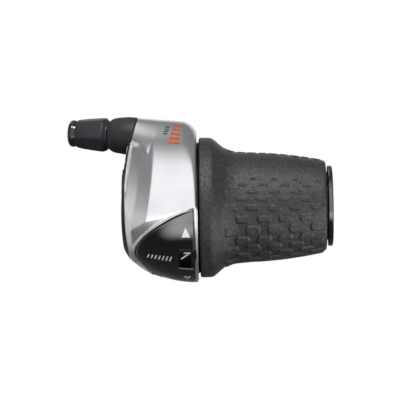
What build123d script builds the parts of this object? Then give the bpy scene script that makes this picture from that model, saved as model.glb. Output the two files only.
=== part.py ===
"""Right-hand twist-grip gear shifter for a bicycle handlebar, as separate pieces.

Frame, in millimetres: X runs along the handlebar towards its open end, Z is up to the cable side,
and the gear display faces -Y. The origin is on the bar's axis at the housing's inboard face.
"""

import os
from math import asin, cos, degrees, radians, sin, sqrt, tan

from build123d import *

os.makedirs("parts", exist_ok=True)

# Handlebar and the tube that sits on it
BAR_R = 11.1
BORE_R = BAR_R + 0.1
TUBE_R = 12.6
TUBE_END_X = 77.0
FLANGE_SEAT_R = 12.0
FLANGE_SEAT_X = 73.4

# Housing: its section is four quarter ellipses, one radius each way from the bar's axis
HOUSING_X = 27.4
WALL = 1.6
LEFT_WALL = 2.5
WALL_ARC = (130.0, 0.0, -4.0)  # radius, x and z of the left wall's arc; the wall lies along Y
COVER_ARC = (110.0, 1.0, 0.0)  # the cover's left edge, which leaves a strip of the wall showing
COVER_GAP = 0.1
SPLIT_Y = 3.0  # cover in front of this plane, base behind it
FRONT_R, BACK_R, BOTTOM_R = 27.3, 26.8, 27.7
TOP_R, TOP_FALL = 33.9, 0.09
FACE_FALL, FACE_LEN = 0.95, 16.9  # the front face leans back a little, then breaks into two facets
FACET_X2, FACET_ANGLE2 = 10.5, 26.0
FACET_X1, FACET_ANGLE1 = 5.5, 45.0
STATIONS = (0.0, 1.2, 3.0, 5.5, 8.0, 10.5, 14.0, 18.0, 22.0, 24.5, 26.3, HOUSING_X)
LIP_X = 26.5
LIP_R = 24.55
SEAL_R = LIP_R - 0.3

# Rotating parts, all coaxial with the bar
RUNNING = 0.05
SLEEVE_BORE_R = TUBE_R + RUNNING
SLEEVE_R = 14.2
SLEEVE_X0, SLEEVE_X1 = 12.4, 74.4
KEY_W, KEY_R = 3.0, 14.9
DRUM_X0, DRUM_X1, DRUM_R = 13.0, 18.0, 17.3
CABLE_PLANE_X, CABLE_PITCH_R, CABLE_D = 15.5, 16.2, 1.2
DETENT_X0, DETENT_X1, DETENT_R = 18.2, 20.2, 17.6
DIAL_X0, DIAL_X1, DIAL_R, DIAL_WALL = 20.6, 26.2, 24.5, 1.2
GEARS, GEAR_STEP = 7, 20.0
TRAVEL = GEAR_STEP * (GEARS - 1)
STOP_TAB_R, STOP_TAB_ANGLE, STOP_TAB_WIDTH = 19.0, 54.0, 10.0

# Display: a gloss black insert in the cover, with a clear pane over the dial
DISPLAY_GAP = 0.2
DISPLAY_SINK = 0.12
PANE_X0, PANE_X1 = 20.7, 26.0
PANE_ANGLE, PANE_SPAN = 44.3, 19.0

# Cable adjuster: t runs outward along its axis from ADJUSTER_ROOT
ADJUSTER_ROOT = Vector(3.9, -2.0, 26.7)
ADJUSTER_BACK, ADJUSTER_RISE = 16.0, 3.6
SCREW_R, CABLE_HOLE_R = 3.0, 1.1
CASING_R = 2.5
FERRULE_BORE_R = CASING_R + 0.1
FERRULE_SEAT_T, FERRULE_END_T = 15.0, 23.6
KNOB_R0, KNOB_R1 = 6.42, 5.15
KNOB_T0, KNOB_T1 = 8.5, 20.7
KNOB_FLATS = 6
BOOT_END_T = 8.35
SOCKET_SPIGOT_R = 5.0
NUT_T0, NUT_R = -2.0, 4.3

# Cable pulley
PULLEY_GROOVE_R, PULLEY_R, PULLEY_W, PIN_R = 4.5, 5.2, 3.0, 1.25

# Clamp
BAND_X0, BAND_X1, BAND_R = 4.0, 11.0, 14.0
CLAMP_BOLT_Y, CLAMP_BOLT_R = 17.4, 2.0
EAR_GAP, EAR_T = 1.0, 2.0
CLAMP_HEAD_R, CLAMP_HEAD_H = 3.5, 4.0
CLAMP_KEY_HOLE_R = 4.0

# Cover screws, which run forward from the back: (x, z, boss radius)
COVER_SCREWS = ((19.2, 27.8, 2.8), (15.8, -22.0, 2.6))
COVER_SCREW_R, COVER_SCREW_HEAD_R = 1.4, 2.5


def outward(back, rise):
    """Unit vector that points inboard along the adjuster."""
    b, e = radians(back), radians(rise)
    return Vector(-cos(b) * cos(e), sin(b) * cos(e), sin(e))


ADJUSTER_AXIS = outward(ADJUSTER_BACK, ADJUSTER_RISE)


def oval(full, reach, x, bend, power):
    """Radius of a dome that grows from the left wall to full at the housing's right end."""
    share = (HOUSING_X - x) / reach
    return full * (1 - share**bend) ** power


def housing_radii(x):
    """Front, back, top and bottom radius of the housing at x."""
    front = min(FRONT_R - FACE_FALL * ((HOUSING_X - x) / FACE_LEN) ** 2,
                FRONT_R - FACE_FALL - (FACET_X2 - x) * tan(radians(FACET_ANGLE2)),
                FRONT_R - FACE_FALL - (FACET_X2 - FACET_X1) * tan(radians(FACET_ANGLE2))
                - (FACET_X1 - x) * tan(radians(FACET_ANGLE1)))
    back = oval(BACK_R, 28.5, x, 3.0, 0.20)
    bottom = oval(BOTTOM_R, 28.5, x, 1.8, 0.2625)
    top = TOP_R - TOP_FALL * x
    shoulder_x, shoulder_len, shoulder_drop = 22.0, 6.0, 5.5
    if x > shoulder_x:
        share = (x - shoulder_x) / shoulder_len
        top -= shoulder_drop * (1 - sqrt(1 - share * share))
    return front, back, top, bottom


def housing_section(x, inset):
    front, back, top, bottom = (r - inset for r in housing_radii(x))
    arcs = [
        EllipticalCenterArc((0, 0), back, top, 0, arc_size=90),
        EllipticalCenterArc((0, 0), front, top, 90, arc_size=90),
        EllipticalCenterArc((0, 0), front, bottom, 180, arc_size=90),
        EllipticalCenterArc((0, 0), back, bottom, 270, arc_size=90),
    ]
    plane = Plane(origin=(x, 0, 0), x_dir=(0, 1, 0), z_dir=(1, 0, 0))
    return plane * make_face(arcs)


def housing_form(inset):
    return loft([housing_section(x, inset) for x in STATIONS])


def block(x0, x1, y0, y1, z0, z1):
    return Pos(x0, y0, z0) * Box(x1 - x0, y1 - y0, z1 - z0, align=Align.MIN)


def right_of(arc, shift):
    """Everything to the right of an arc that lies along Y, moved right by shift."""
    radius, x, z = arc
    barrel = Pos(x + radius + shift, 0, z) * Rot(90, 0, 0) * Cylinder(radius, 90)
    return barrel & block(-5, 40, -45, 45, -45, 45)


def turned(*points):
    """A polygon of (x, radius) points turned about the bar's axis."""
    return revolve(Polygon(*points, align=None), Axis.X)


def ring(x0, x1, r0, r1):
    return turned((x0, r0), (x1, r0), (x1, r1), (x0, r1))


def disc(x0, x1, r):
    return ring(x0, x1, 0, r)


def prism(x0, x1, *points):
    """A polygon of (y, z) points extended along X."""
    plane = Plane(origin=(x0, 0, 0), x_dir=(0, 1, 0), z_dir=(1, 0, 0))
    return extrude(plane * Polygon(*points, align=None), x1 - x0, dir=(1, 0, 0))


def rod_y(x, z, r, y0, y1):
    return Pos(x, (y0 + y1) / 2, z) * Rot(90, 0, 0) * Cylinder(r, y1 - y0)


def rod_z(x, y, r, z0, z1):
    return Pos(x, y, (z0 + z1) / 2) * Cylinder(r, z1 - z0)


ADJUSTER_PLANE = Plane(origin=ADJUSTER_ROOT, x_dir=ADJUSTER_AXIS.cross(Vector(0, -1, 0)), z_dir=ADJUSTER_AXIS)


def on_adjuster(*points):
    """A polygon of (radius, t) points turned about the adjuster's axis."""
    profile = Plane.XZ * Polygon(*points, align=None)
    return ADJUSTER_PLANE.location * revolve(profile, Axis.Z)


def sector(x0, x1, r0, r1, angle, width):
    """A piece of a ring, width degrees wide, centred on angle from +Y towards +Z."""
    reach = r1 * 1.5
    rise = reach * tan(radians(width / 2))
    return Rot(angle, 0, 0) * (ring(x0, x1, r0, r1) & prism(x0, x1, (0, 0), (reach, -rise), (reach, rise)))


# ---- cable pulley placement: it turns the cable from the adjuster's line down to the drum


def pulley_frame():
    """Plane of the pulley: origin at its centre, z along its pin."""
    to_plane = (CABLE_PLANE_X - ADJUSTER_ROOT.X) / ADJUSTER_AXIS.X
    corner = ADJUSTER_ROOT + ADJUSTER_AXIS * to_plane
    reach = sqrt(corner.Y**2 + corner.Z**2)
    inward = Vector(0, -corner.Y / reach, -corner.Z / reach)
    to_drum = inward.rotate(Axis.X, -degrees(asin(CABLE_PITCH_R / reach)))
    middle = (ADJUSTER_AXIS + to_drum).normalized()
    half = ADJUSTER_AXIS.get_angle(to_drum) / 2
    centre = corner + middle * (PULLEY_GROOVE_R / sin(radians(half)))
    pin = ADJUSTER_AXIS.cross(to_drum).normalized()
    return Plane(origin=centre, x_dir=middle, z_dir=pin)


PULLEY_PLANE = pulley_frame()


# ---- housing pieces


def adjuster_socket():
    """The bullet-shaped socket that the adjuster screws into, pressed into the left wall."""
    outside = on_adjuster((0, NUT_T0), (7.0, NUT_T0), (7.0, 0), (6.85, 2.6), (6.6, 5.2), (6.15, 7.0), (5.6, 7.9),
                          (4.95, BOOT_END_T), (0, BOOT_END_T))
    bore = on_adjuster((0, -9), (NUT_R, -9), (NUT_R, 2.5), (4.0, 2.5), (4.0, 9), (0, 9))
    spigot = on_adjuster((0, NUT_T0), (SOCKET_SPIGOT_R, NUT_T0), (SOCKET_SPIGOT_R, 4), (0, 4))
    return outside - right_of(WALL_ARC, 0) + spigot - bore


def pulley_lugs():
    """Two lugs on the left wall that hold the pulley's pin, one each side of it."""
    thick, reach, tall = 1.7, 7.5, 6.4
    at = PULLEY_WIDTH_HALF + 0.15 + thick / 2
    lugs = []
    for side in (-1, 1):
        centre = PULLEY_PLANE.origin + PULLEY_PLANE.z_dir * (side * at)
        frame = Plane(origin=centre, x_dir=Vector(1, 0, 0) - PULLEY_PLANE.z_dir * PULLEY_PLANE.z_dir.X,
                      z_dir=PULLEY_PLANE.z_dir)
        lug = Pos(-reach / 2, 0, 0) * Box(reach, tall, thick) + Cylinder(tall / 2, thick)
        lugs.append(frame.location * (lug - Cylinder(PIN_R, thick * 2)))
    return lugs


PULLEY_WIDTH_HALF = PULLEY_W / 2


def stop_ribs(hollow):
    """Two ribs inside the back shell that the drum's tab meets at the ends of the grip's turn."""
    gap, width = 0.6, 7.0
    low = STOP_TAB_ANGLE - TRAVEL - STOP_TAB_WIDTH / 2 - gap - width / 2
    high = STOP_TAB_ANGLE + STOP_TAB_WIDTH / 2 + gap + width / 2
    return [hollow & sector(DRUM_X0 - 0.4, DRUM_X0 + 1.6, DRUM_R + 0.4, 36, a, width) for a in (low, high)]


def base_housing(form, hollow):
    """Glass-filled nylon base: left wall, back shell, bar tube, adjuster socket and clamp pocket."""
    left = form & (right_of(WALL_ARC, 0) - right_of(COVER_ARC, 0))
    left += housing_form(WALL + COVER_GAP) & (right_of(WALL_ARC, 0.4) - right_of(WALL_ARC, LEFT_WALL))
    back_half = block(-1, 40, SPLIT_Y, 45, -45, 45)
    shell = (form - hollow) & right_of(WALL_ARC, 0) & back_half
    tube = ring(0, TUBE_END_X, BORE_R, TUBE_R) - ring(FLANGE_SEAT_X, TUBE_END_X + 1, FLANGE_SEAT_R, 20)
    body = left + shell + tube
    body += ring(0.3, BAND_X0 - 0.4, BORE_R, TUBE_R + 2)
    body += ring(BAND_X1 + 0.3, SLEEVE_X0 - 0.5, BORE_R, TUBE_R + 2.6)
    for piece in [*pulley_lugs(), *stop_ribs(hollow)]:
        body += piece
    for x, z, boss_r in COVER_SCREWS:
        body += rod_y(x, z, boss_r, SPLIT_Y, 14) & form
    body -= on_adjuster((0, -9), (SOCKET_SPIGOT_R, -9), (SOCKET_SPIGOT_R, 9), (0, 9))
    body -= disc(-1, TUBE_END_X + 1, BORE_R)
    for x, z, _ in COVER_SCREWS:
        body -= rod_y(x, z, COVER_SCREW_R + 0.15, SPLIT_Y - 1, 20)
        body -= rod_y(x, z, COVER_SCREW_HEAD_R + 0.2, SPLIT_Y + 5, 30)
    body -= clamp_clearance()
    body -= plug_hole()
    body -= detent_pocket()
    for angle in (35, 145, 215, 325):  # slits that let the band squeeze the tube
        slot = block(BAND_X0 + 0.2, BAND_X1 - 0.2, BORE_R - 1, TUBE_R + 0.6, -0.6, 0.6)
        body -= Rot(angle, 0, 0) * slot
    return body


def clamp_clearance():
    """Room for the band's ears, the bolt and its key, open downwards."""
    x = (BAND_X0 + BAND_X1) / 2
    ears = block(BAND_X0 - 0.3, BAND_X1 + 0.3, TUBE_R + 0.05, 21.1, -7.4, 7.6)
    key = rod_z(x, CLAMP_BOLT_Y, CLAMP_KEY_HOLE_R, -30, -6)
    return [ears, key]


def cover_lip(form):
    """Inward lip at the right end, round the dust seal."""
    return (form & block(LIP_X, HOUSING_X, -45, 45, -45, 45)) - disc(LIP_X - 1, HOUSING_X + 1, LIP_R)


def display_outline(gap):
    """Teardrop seen from the front, cut through to the split plane under the housing."""
    curve = Spline((26.5 - gap, -0.3 - 1.4 * gap), (17.5, -4.3 - gap), (7.9 + 0.7 * gap, -11.2 - 0.7 * gap),
                   (4.75 + gap, -17.2), (9.7, -23.4 + gap), (16.0, -26.4 + gap))
    end = curve @ 1
    rest = Polyline(end, (20.0, -34), (26.5 - gap, -34), curve @ 0)
    face = Plane.XZ * make_face([curve, rest])
    return extrude(face, 45) + extrude(face, -(SPLIT_Y - gap))


def top_cover(form, hollow):
    """Silver-painted front shell with the display opening."""
    front_half = block(-1, 40, -45, SPLIT_Y, -45, 45)
    shell = (form - hollow) & right_of(COVER_ARC, COVER_GAP) & front_half
    for x, z, boss_r in COVER_SCREWS:
        shell += rod_y(x, z, boss_r, -9, SPLIT_Y) & form
        shell -= rod_y(x, z, COVER_SCREW_R, -7.6, SPLIT_Y + 1)
    shell -= display_outline(0)
    return shell


def display_cover(form_sunk, hollow):
    """Gloss black insert that fills the cover's opening, with a rectangular hole over the dial."""
    insert = (form_sunk - hollow) & display_outline(DISPLAY_GAP)
    return insert - pane_block(0)


def pane_block(gap):
    """Rectangular block along the display's line of sight, shrunk all round by gap."""
    half = radians(PANE_SPAN / 2)
    tall = 2 * FRONT_R * sin(half) - 2 * gap
    plane = Plane(origin=((PANE_X0 + PANE_X1) / 2, 0, 0), x_dir=(1, 0, 0),
                  z_dir=(0, -cos(radians(PANE_ANGLE)), -sin(radians(PANE_ANGLE))))
    return plane.location * Pos(0, 0, FRONT_R) * Box(PANE_X1 - PANE_X0 - 2 * gap, tall, 10)


def display_pane(form_sunk):
    """Clear acrylic pane, flush with the insert."""
    return (form_sunk & pane_block(0.03)) - disc(0, 40, DIAL_R + 0.5)


def end_flange():
    """Retaining ring pressed on the tube's outboard end."""
    return turned((FLANGE_SEAT_X + 1.6, FLANGE_SEAT_R), (76.9, FLANGE_SEAT_R), (77.2, 12.3), (77.2, 14.4),
                  (76.9, 14.9), (75.6, 14.9), (75.25, 14.5), (75.25, TUBE_R), (FLANGE_SEAT_X + 1.6, TUBE_R))


def dust_seal():
    """Gloss ring that fills the gap beside the grip's flange and turns with it."""
    return turned((26.6, 20.9), (28.6, 20.9), (28.6, 22.8), (28.3, 22.8), (28.3, SEAL_R - 0.6),
                  (28.0, SEAL_R - 0.1), (27.6, SEAL_R), (26.6, SEAL_R))


def clamp_band():
    """Split steel band round the slotted part of the tube, with two ears for the bolt."""
    band = ring(BAND_X0, BAND_X1, TUBE_R + 0.1, BAND_R)
    band += block(BAND_X0, BAND_X1, TUBE_R + 0.4, 20.6, EAR_GAP, EAR_GAP + EAR_T)
    band += block(BAND_X0, BAND_X1, TUBE_R + 0.4, 20.6, -EAR_GAP - EAR_T, -EAR_GAP)
    band -= block(BAND_X0 - 1, BAND_X1 + 1, 5, 25, -EAR_GAP, EAR_GAP)
    x = (BAND_X0 + BAND_X1) / 2
    return band - rod_z(x, CLAMP_BOLT_Y, CLAMP_BOLT_R + 0.1, -5, 5)


def clamp_bolt():
    """Hex socket bolt, its head below the lower ear."""
    x = (BAND_X0 + BAND_X1) / 2
    face = -EAR_GAP - EAR_T
    bolt = rod_z(x, CLAMP_BOLT_Y, CLAMP_BOLT_R, face, 7.2)
    head = rod_z(x, CLAMP_BOLT_Y, CLAMP_HEAD_R, face - CLAMP_HEAD_H, face)
    socket = Pos(x, CLAMP_BOLT_Y, face - CLAMP_HEAD_H) * extrude(RegularPolygon(1.73, 6), 2.2)
    return bolt + chamfer(head.edges().group_by(Axis.Z)[0], 0.35) - socket


def clamp_nut():
    x = (BAND_X0 + BAND_X1) / 2
    top = EAR_GAP + EAR_T
    nut = block(x - 3.5, x + 3.5, CLAMP_BOLT_Y - 3.3, CLAMP_BOLT_Y + 3.3, top, top + 3.2)
    return nut - rod_z(x, CLAMP_BOLT_Y, CLAMP_BOLT_R, 0, 10)


def cover_screw(x, z):
    """Cross-recess screw that holds the cover to the base."""
    seat = SPLIT_Y + 5
    shank = rod_y(x, z, COVER_SCREW_R, -7.0, seat)
    head = rod_y(x, z, COVER_SCREW_HEAD_R, seat, seat + 1.8)
    head = fillet(head.edges().group_by(Axis.Y)[-1], 0.6)
    cross = block(x - 1.3, x + 1.3, seat + 0.7, seat + 3, z - 0.3, z + 0.3)
    cross += block(x - 0.3, x + 0.3, seat + 0.7, seat + 3, z - 1.3, z + 1.3)
    return shank + head - cross


# ---- cable hatch at the back, over the drum

PLUG_R, PLUG_X = 3.2, 14.9
PLUG_ANGLE = -12.0


def plug_hole():
    return Rot(PLUG_ANGLE, 0, 0) * rod_y(PLUG_X, 0, PLUG_R, 19.5, 40)


def cable_hatch_plug(form):
    """Slotted plug that closes the hole through which the cable's head is fed to the drum."""
    stem = Rot(PLUG_ANGLE, 0, 0) * rod_y(PLUG_X, 0, PLUG_R - 0.05, 22.2, 40)
    cap = form & stem
    slot = Rot(PLUG_ANGLE, 0, 0) * block(PLUG_X - 2.2, PLUG_X + 2.2, 25.2, 40, -0.45, 0.45)
    return cap - slot


# ---- detent


def detent_pocket():
    """Room for the leaf at the back, where it flexes outwards."""
    return block(DETENT_X0 - 0.2, DETENT_X1 + 0.2, 17.9, 20.4, -4, 13.6)


LEAF_Y, LEAF_T, LEAF_Z1 = 18.5, 0.45, 12.0
NOTCH_DEPTH, NOTCH_HALF = 0.9, 1.3


def detent_spring():
    """Steel leaf whose bend rests in a notch of the detent ring."""
    y0, y1 = LEAF_Y, LEAF_Y + LEAF_T
    tip_y = DETENT_R - NOTCH_DEPTH + 0.15
    leaf = prism(DETENT_X0 + 0.2, DETENT_X1 - 0.2, (y0, LEAF_Z1), (y0, 1.5), (tip_y, 0.25), (tip_y, -0.25),
                 (y0, -1.5), (y0, -3.5), (y1, -3.5), (y1, -1.35), (tip_y + LEAF_T, -0.1),
                 (tip_y + LEAF_T, 0.1), (y1, 1.35), (y1, LEAF_Z1))
    return leaf - rod_y(LEAF_SCREW_X, LEAF_SCREW_Z, 0.55, 15, 25)


LEAF_SCREW_X, LEAF_SCREW_Z = (DETENT_X0 + DETENT_X1) / 2, 10.6


def leaf_block(hollow):
    """Boss on the back shell that the leaf is screwed to."""
    return block(DETENT_X0 - 0.2, DETENT_X1 + 0.2, LEAF_Y + LEAF_T, 26, 8.8, LEAF_Z1 + 1.2) & hollow


def detent_screw():
    shank = rod_y(LEAF_SCREW_X, LEAF_SCREW_Z, 0.5, LEAF_Y - 0.05, 21.6)
    return shank + rod_y(LEAF_SCREW_X, LEAF_SCREW_Z, 0.95, LEAF_Y - 0.55, LEAF_Y)


# ---- rotating pieces


def keys(extra):
    """Two keys on the sleeve that carry the drum, detent ring and dial round with it."""
    half = KEY_W / 2 + extra
    key = block(SLEEVE_X0, DIAL_X0 + 1.2, SLEEVE_BORE_R + 0.4, KEY_R + extra, -half, half)
    return [key, Rot(180, 0, 0) * key]


# Outside of the rigid sleeve and of the rubber over it, as (x, radius)
SLEEVE_OUTSIDE = ((28.6, 22.8), (31.8, 22.8), (34.2, 21.3), (37.0, 18.7), (40.5, 17.3), (45.0, 16.9),
                  (58.0, 15.9), (SLEEVE_X1, 14.3))
RUBBER_FLANGE = ((28.3, 24.9), (28.5, 25.45), (29.1, 25.7), (32.6, 25.65))
RUBBER_NECK = ((33.6, 25.25), (36.6, 22.7), (40.0, 20.6), (44.0, 20.0))
RUBBER_HANDLE = ((44.0, 20.0), (55.2, 19.35), (65.0, 18.2), (74.0, 16.6))
RUBBER_END = ((74.65, 16.2), (74.85, 15.5), (74.85, 14.3))


def grip_sleeve():
    """Rigid sleeve that turns on the bar tube; hollow under its flange."""
    hub = turned((SLEEVE_X0, SLEEVE_BORE_R), (SLEEVE_X1, SLEEVE_BORE_R), (SLEEVE_X1, SLEEVE_OUTSIDE[-1][1]),
                 *reversed(SLEEVE_OUTSIDE[:-1]), (28.6, SLEEVE_R), (SLEEVE_X0, SLEEVE_R))
    hollow = turned((28.0, 15.6), (38.0, 15.6), (36.0, 16.9), (33.4, 19.6), (31.2, 20.9), (28.0, 20.9))
    sleeve = hub - hollow
    for key in keys(0):
        sleeve += key
    for rib in sleeve_ribs(0):
        sleeve += rib
    return sleeve


def sleeve_ribs(extra):
    """Ribs along the sleeve that stop the rubber from slipping round."""
    half = 0.9 + extra
    rib = block(48.0, 70.0, 13.6, 17.0 + extra, -half, half)
    return [Rot(angle, 0, 0) * rib for angle in range(0, 360, 60)]


def grip_rubber():
    """Soft cover moulded over the sleeve: flange, hollow neck and tapered handle."""
    flange = Polyline((28.3, 22.8), *RUBBER_FLANGE)
    neck = Spline(RUBBER_FLANGE[-1], *RUBBER_NECK, tangents=[(1, -0.1), (1, -0.05)])
    handle = Spline(*RUBBER_HANDLE, tangents=[(1, -0.05), (1, -0.2)])
    end = Polyline(RUBBER_HANDLE[-1], *RUBBER_END, (SLEEVE_X1, 14.3))
    inside = Polyline((SLEEVE_X1, 14.3), *reversed(SLEEVE_OUTSIDE[:-1]), (28.3, 22.8))
    rubber = revolve(make_face([flange, neck, handle, end, inside]), Axis.X)
    for rib in sleeve_ribs(0):
        rubber -= rib
    return rubber


def cable_drum():
    """Grooved drum that winds the inner cable, with a pocket for its head and a stop tab."""
    groove = CABLE_D / 2 + 0.15
    floor = CABLE_PITCH_R - CABLE_D / 2
    drum = turned((DRUM_X0, SLEEVE_R), (DRUM_X1, SLEEVE_R), (DRUM_X1, DRUM_R), (CABLE_PLANE_X + groove + 0.5, DRUM_R),
                  (CABLE_PLANE_X + groove, floor), (CABLE_PLANE_X - groove, floor),
                  (CABLE_PLANE_X - groove - 0.5, DRUM_R), (DRUM_X0, DRUM_R))
    drum += sector(DRUM_X0, DRUM_X0 + 1.2, DRUM_R - 0.5, STOP_TAB_R, STOP_TAB_ANGLE, STOP_TAB_WIDTH)
    pocket = Rot(PLUG_ANGLE, 0, 0) * block(CABLE_PLANE_X - 1, CABLE_PLANE_X + 3, 14.9, 19, -2.2, 2.2)
    drum -= pocket
    for key in keys(RUNNING):
        drum -= key
    return drum


def detent_ring():
    """Toothed ring with a V notch for each gear."""
    plate = ring(DETENT_X0, DETENT_X1, SLEEVE_R, DETENT_R)
    floor, mouth = DETENT_R - NOTCH_DEPTH, DETENT_R + 1
    notch = prism(DETENT_X0 - 1, DETENT_X1 + 1, (floor, -0.3), (mouth, -NOTCH_HALF - 1),
                  (mouth, NOTCH_HALF + 1), (floor, 0.3))
    for gear in range(GEARS):
        plate -= Rot(gear * GEAR_STEP, 0, 0) * notch
    for key in keys(RUNNING):
        plate -= key
    return plate


def number_dial():
    """Cup-shaped dial that carries the gear numbers under the pane."""
    dial = turned((DIAL_X0, SLEEVE_R), (DIAL_X0 + 1.0, SLEEVE_R), (DIAL_X0 + 1.0, DIAL_R - DIAL_WALL),
                  (DIAL_X1, DIAL_R - DIAL_WALL), (DIAL_X1, DIAL_R), (DIAL_X0, DIAL_R))
    for key in keys(RUNNING):
        dial -= key
    return dial


def thrust_washer():
    return ring(SLEEVE_X0 - 0.5, SLEEVE_X0 - 0.05, TUBE_R + 0.02, 15.0)


# ---- pulley


def guide_pulley():
    half, groove = PULLEY_W / 2, 0.8
    profile = Plane.XZ * Polygon((PIN_R + 0.04, -half), (PULLEY_R, -half), (PULLEY_R, -groove),
                                 (PULLEY_GROOVE_R - 0.6, -0.25), (PULLEY_GROOVE_R - 0.6, 0.25),
                                 (PULLEY_R, groove), (PULLEY_R, half), (PIN_R + 0.04, half), align=None)
    wheel = revolve(profile, Axis.Z)
    holes = [Rot(0, 0, a) * Pos(2.7, 0, 0) * Cylinder(0.55, PULLEY_W * 2) for a in range(0, 360, 72)]
    for hole in holes:
        wheel -= hole
    return PULLEY_PLANE.location * wheel


def pulley_pin():
    return PULLEY_PLANE.location * Cylinder(PIN_R, PULLEY_W + 3.6)


# ---- cable adjuster


def adjuster_nut():
    return on_adjuster((SCREW_R + RUNNING, NUT_T0), (NUT_R, NUT_T0), (NUT_R, 2.5), (SCREW_R + RUNNING, 2.5))


def adjuster_screw():
    """Hollow steel screw; its threads are left plain."""
    return on_adjuster((CABLE_HOLE_R, -1.6), (SCREW_R - 0.4, -1.6), (SCREW_R, -1.2), (SCREW_R, 13.9),
                       (CABLE_HOLE_R, 13.9))


def adjuster_knob():
    """Tapered knob with six flats, moulded on the screw."""
    knob = on_adjuster((SCREW_R, 6.2), (3.7, 6.2), (3.7, KNOB_T0), (4.9, KNOB_T0), (5.0, 8.95), (5.35, 9.25),
                       (KNOB_R0 - 0.1, 10.35), (KNOB_R0, 10.7), (6.38, 12.0), (6.05, 15.5), (5.6, 18.6),
                       (KNOB_R1, KNOB_T1), (3.45, KNOB_T1), (3.45, 13.95), (SCREW_R, 13.95))
    flat_r0, flat_r1 = 5.94, 5.06
    lean = degrees(asin((flat_r0 - flat_r1) / (KNOB_T1 - 10.7)))
    for i in range(KNOB_FLATS):
        cutter = Rot(0, -lean, 0) * Box(4, 12, 30, align=(Align.MIN, Align.CENTER, Align.CENTER))
        cutter = Rot(0, 0, KNOB_TURN + 360 * i / KNOB_FLATS) * Pos(flat_r0, 0, 10.7) * cutter
        knob -= ADJUSTER_PLANE.location * cutter
    return knob


KNOB_TURN = -72.0


def adjuster_o_ring():
    """Rubber ring in the socket that keeps the screw from creeping."""
    return ADJUSTER_PLANE.location * Pos(0, 0, 3.1) * Torus(3.5, 0.42)


def casing_ferrule():
    """Seat for the outer casing; it slides with the knob and doesn't turn."""
    return on_adjuster((FERRULE_BORE_R, FERRULE_SEAT_T), (CABLE_HOLE_R, FERRULE_SEAT_T),
                       (CABLE_HOLE_R, FERRULE_SEAT_T - 1), (3.4, FERRULE_SEAT_T - 1), (3.4, 20.8), (4.55, 20.8),
                       (4.6, 21.5), (4.9, 22.0), (4.9, 23.1), (4.5, FERRULE_END_T), (2.9, FERRULE_END_T),
                       (FERRULE_BORE_R, 23.3))


def main():
    form = housing_form(0)
    inner_form = housing_form(WALL)
    form_sunk = housing_form(DISPLAY_SINK)
    hollow = (inner_form & block(-1, LIP_X, -45, 45, -45, 45)) + disc(LIP_X - 0.5, HOUSING_X + 1, LIP_R)
    parts = {
        "base_housing": base_housing(form, hollow) + leaf_block(hollow)
        - rod_y(LEAF_SCREW_X, LEAF_SCREW_Z, 0.5, LEAF_Y, 21.6),
        "top_cover": top_cover(form, hollow),
        "display_cover": display_cover(form_sunk, hollow),
        "display_pane": display_pane(form_sunk),
        "end_flange": end_flange(),
        "dust_seal": dust_seal(),
        "clamp_band": clamp_band(),
        "clamp_bolt": clamp_bolt(),
        "clamp_nut": clamp_nut(),
        "cover_screws": Compound([cover_screw(x, z) for x, z, _ in COVER_SCREWS]),
        "cable_hatch_plug": cable_hatch_plug(form),
        "detent_spring": detent_spring(),
        "detent_screw": detent_screw(),
        "grip_sleeve": grip_sleeve(),
        "grip_rubber": grip_rubber(),
        "cable_drum": cable_drum(),
        "detent_ring": detent_ring(),
        "number_dial": number_dial(),
        "thrust_washer": thrust_washer(),
        "guide_pulley": guide_pulley(),
        "pulley_pin": pulley_pin(),
        "adjuster_socket": adjuster_socket(),
        "adjuster_nut": adjuster_nut(),
        "adjuster_screw": adjuster_screw(),
        "adjuster_knob": adjuster_knob(),
        "adjuster_o_ring": adjuster_o_ring(),
        "casing_ferrule": casing_ferrule(),
    }
    for name, shape in parts.items():
        export_step(shape, f"parts/{name}.step")
        print(name, len(shape.solids()), round(shape.volume, 1))
    print("adjuster axis", ADJUSTER_AXIS, "pulley", PULLEY_PLANE.origin, PULLEY_PLANE.z_dir)


main()
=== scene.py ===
"""Looks of the twist-grip gear shifter: silver cover, gloss display, rubber grip and cable adjuster.

Row frame: X along the handlebar, -Y towards the rider, Z up. Lengths are written in millimetres and
turned into metres by MM. "turn" is an angle about the bar, from -Y towards +Z.
"""

import math

import bpy
import numpy as np
from mathutils import Matrix, Vector
from mathutils.geometry import delaunay_2d_cdt


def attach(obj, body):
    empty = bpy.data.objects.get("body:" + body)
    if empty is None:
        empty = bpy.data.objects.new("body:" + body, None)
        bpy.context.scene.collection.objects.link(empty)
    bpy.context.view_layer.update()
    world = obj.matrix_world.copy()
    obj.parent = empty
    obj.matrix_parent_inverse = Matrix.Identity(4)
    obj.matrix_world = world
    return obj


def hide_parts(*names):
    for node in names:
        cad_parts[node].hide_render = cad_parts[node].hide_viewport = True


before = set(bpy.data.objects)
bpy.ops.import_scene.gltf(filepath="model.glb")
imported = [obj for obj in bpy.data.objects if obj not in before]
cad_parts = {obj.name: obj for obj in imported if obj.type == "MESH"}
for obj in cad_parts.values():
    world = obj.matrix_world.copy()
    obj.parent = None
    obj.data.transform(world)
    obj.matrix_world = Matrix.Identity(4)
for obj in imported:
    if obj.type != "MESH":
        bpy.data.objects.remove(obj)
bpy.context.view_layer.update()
MM = 0.001
scene = bpy.context.scene


# ---------------------------------------------------------------- materials

def colour(code):
    """Linear colour of an sRGB hex code."""
    parts = [int(code[i:i + 2], 16) / 255 for i in (1, 3, 5)]
    return tuple(p / 12.92 if p <= 0.04045 else ((p + 0.055) / 1.055) ** 2.4 for p in parts) + (1.0,)


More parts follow.
